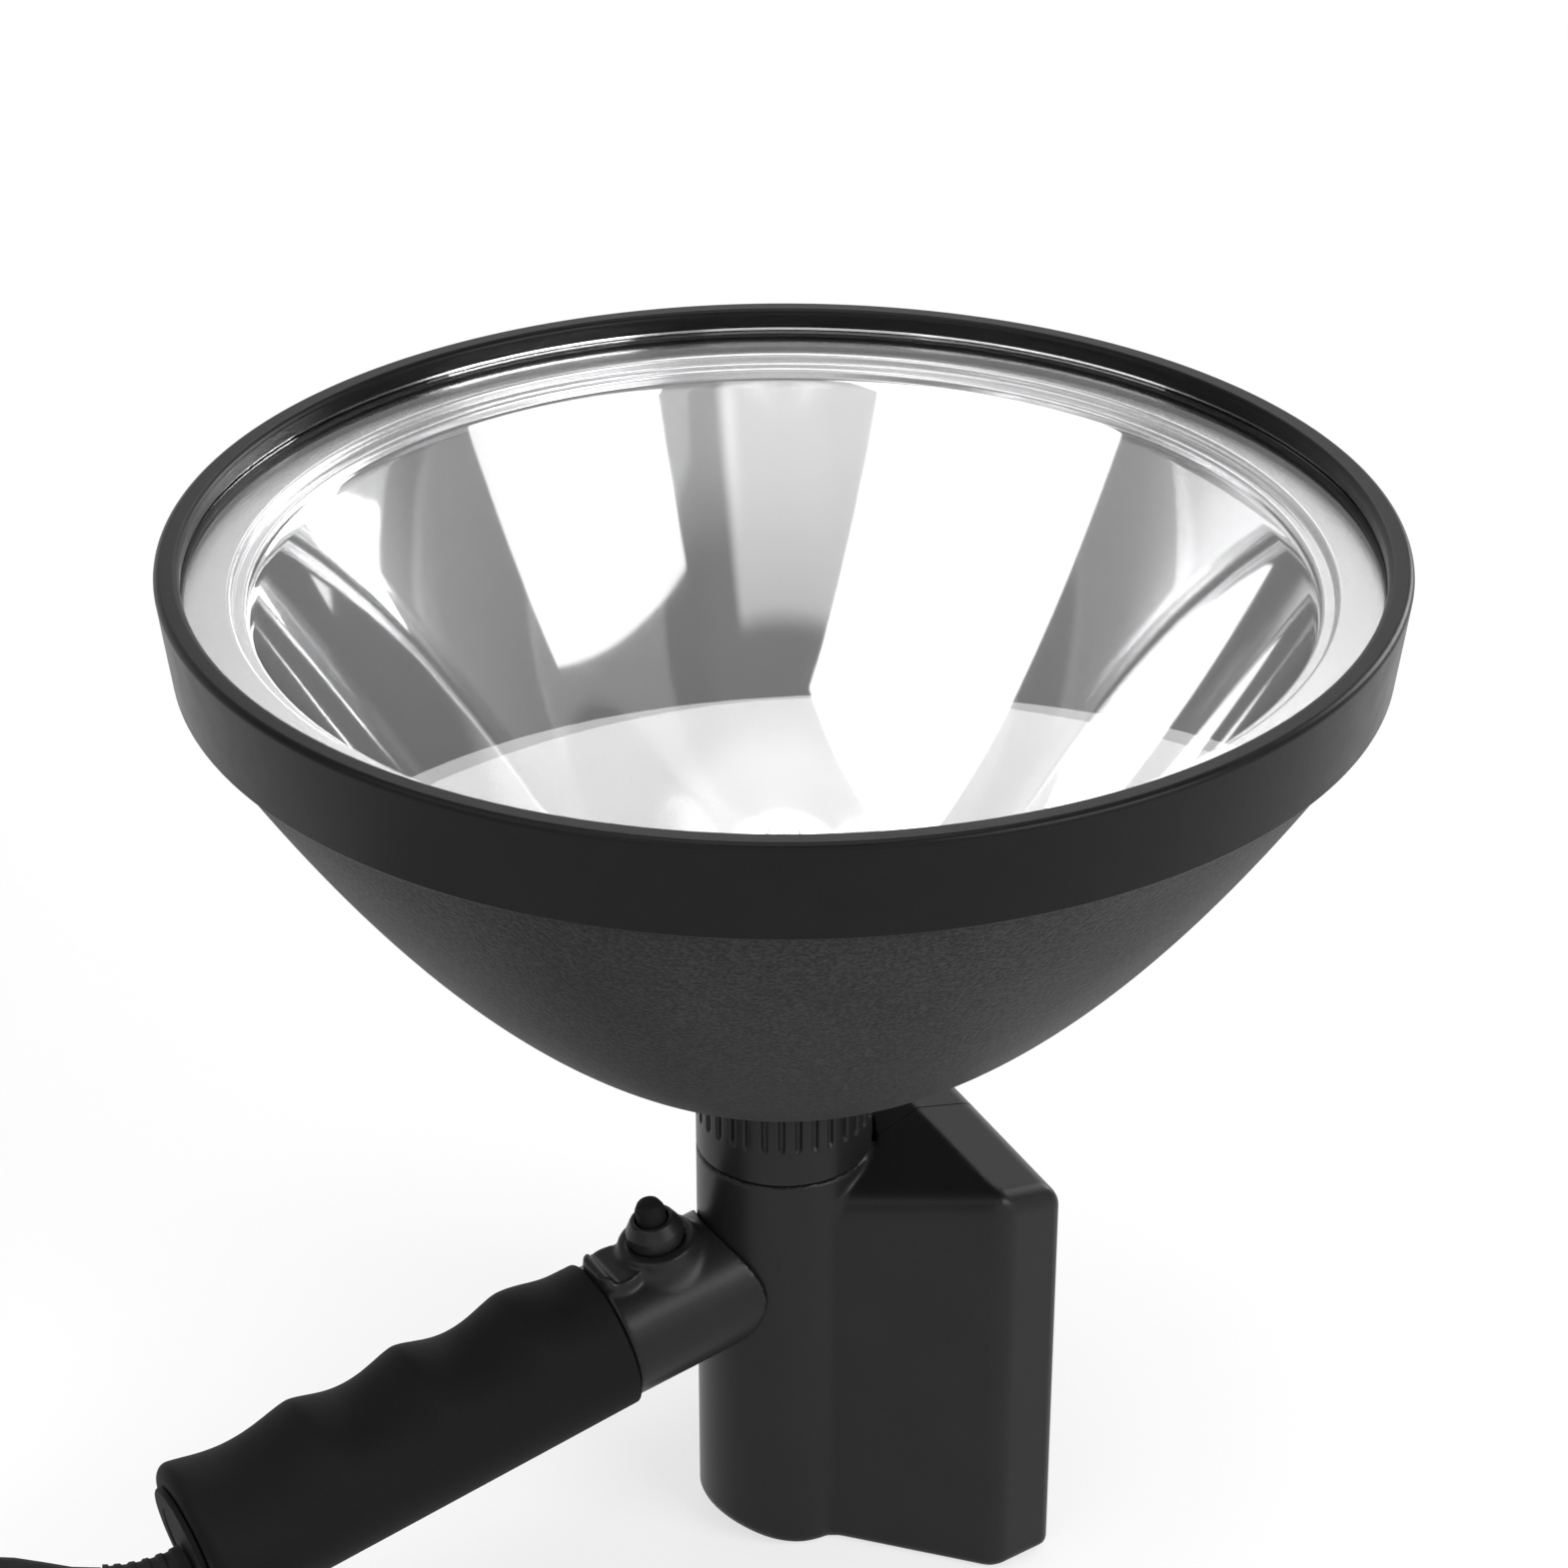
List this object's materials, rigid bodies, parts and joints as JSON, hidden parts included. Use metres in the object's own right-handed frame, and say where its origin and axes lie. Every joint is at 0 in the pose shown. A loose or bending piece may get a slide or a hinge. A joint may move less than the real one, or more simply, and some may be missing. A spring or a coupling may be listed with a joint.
{
  "type": "handheld searchlight",
  "caption": "Handheld searchlight: wide round lamp head turning on a tube with a ballast box, raked grooved handle with push switch, coiled cord and accessory plug.",
  "frame": {"origin": "centre of the tube's flat base, on the beam axis", "axes": "+Z along the beam, +X towards the ballast box; the handle leaves the tube towards -X"},
  "size_m": [0.4315, 0.245, 0.2344],
  "materials": {
    "satin_black_plastic": "satin",
    "grained_black_plastic": "fine grain",
    "bezel_black_plastic": "semi-gloss",
    "reflector_mirror": "polished",
    "clear_glass": "clear",
    "black_rubber": "matt",
    "plated_steel": "plated",
    "white_ceramic": "unglazed",
    "cast_aluminium": "cast"
  },
  "bodies": {
    "body": {"body_shell": "satin_black_plastic", "ballast_cover": "satin_black_plastic", "cover_screw_1": "plated_steel", "cover_screw_2": "plated_steel", "ballast_module": "cast_aluminium", "head_spigot": "cast_aluminium", "head_nut": "plated_steel", "handle_neck": "satin_black_plastic", "handle_nipple": "plated_steel", "nipple_nut": "plated_steel", "handle_grip": "black_rubber", "butt_cap": "satin_black_plastic", "strain_relief": "black_rubber", "switch_body": "satin_black_plastic", "switch_ring": "satin_black_plastic", "power_cord": "black_rubber", "cord_coil": "black_rubber", "plug_lead": "black_rubber", "cord_tie": "satin_black_plastic", "plug_body": "satin_black_plastic", "plug_ring": "plated_steel"},
    "head": {"focus_collar": "satin_black_plastic", "head_housing": "grained_black_plastic", "reflector": "reflector_mirror", "bezel_ring": "bezel_black_plastic", "front_lens": "clear_glass", "lens_gasket": "black_rubber"},
    "lamp": {"lamp_carrier": "satin_black_plastic", "lamp_base": "white_ceramic", "lamp_capsule": "clear_glass"},
    "switch": {"switch_boot": "black_rubber"},
    "tip": {"plug_tip": "plated_steel"},
    "contact_1": {"plug_side_contact_1": "plated_steel"},
    "contact_2": {"plug_side_contact_2": "plated_steel"}
  },
  "joints": [
    {"name": "head_turn", "type": "hinge", "parent": "body", "child": "head", "pos_m": [0, 0, 0.115], "axis": [0, 0, 1], "range_deg": [-135, 135]},
    {"name": "lamp_focus", "type": "slide", "parent": "body", "child": "lamp", "axis": [0, 0, 1], "range_m": [-0.003, 0.003]},
    {"name": "switch_press", "type": "slide", "parent": "body", "child": "switch", "axis": [0.1942, 0, -0.981], "range_m": [0, 0.0025], "stiffness_N_per_m": 800},
    {"name": "plug_tip_press", "type": "slide", "parent": "body", "child": "tip", "axis": [-1, 0, 0], "range_m": [0, 0.003], "stiffness_N_per_m": 500},
    {"name": "plug_contact_1_press", "type": "slide", "parent": "body", "child": "contact_1", "axis": [0, 1, 0], "range_m": [0, 0.001], "stiffness_N_per_m": 1500},
    {"name": "plug_contact_2_press", "type": "slide", "parent": "body", "child": "contact_2", "axis": [0, -1, 0], "range_m": [0, 0.001], "stiffness_N_per_m": 1500}
  ],
  "couplings": [
    {"joint": "lamp_focus", "follows": "head_turn", "m_per_rad": 0.001273}
  ]
}
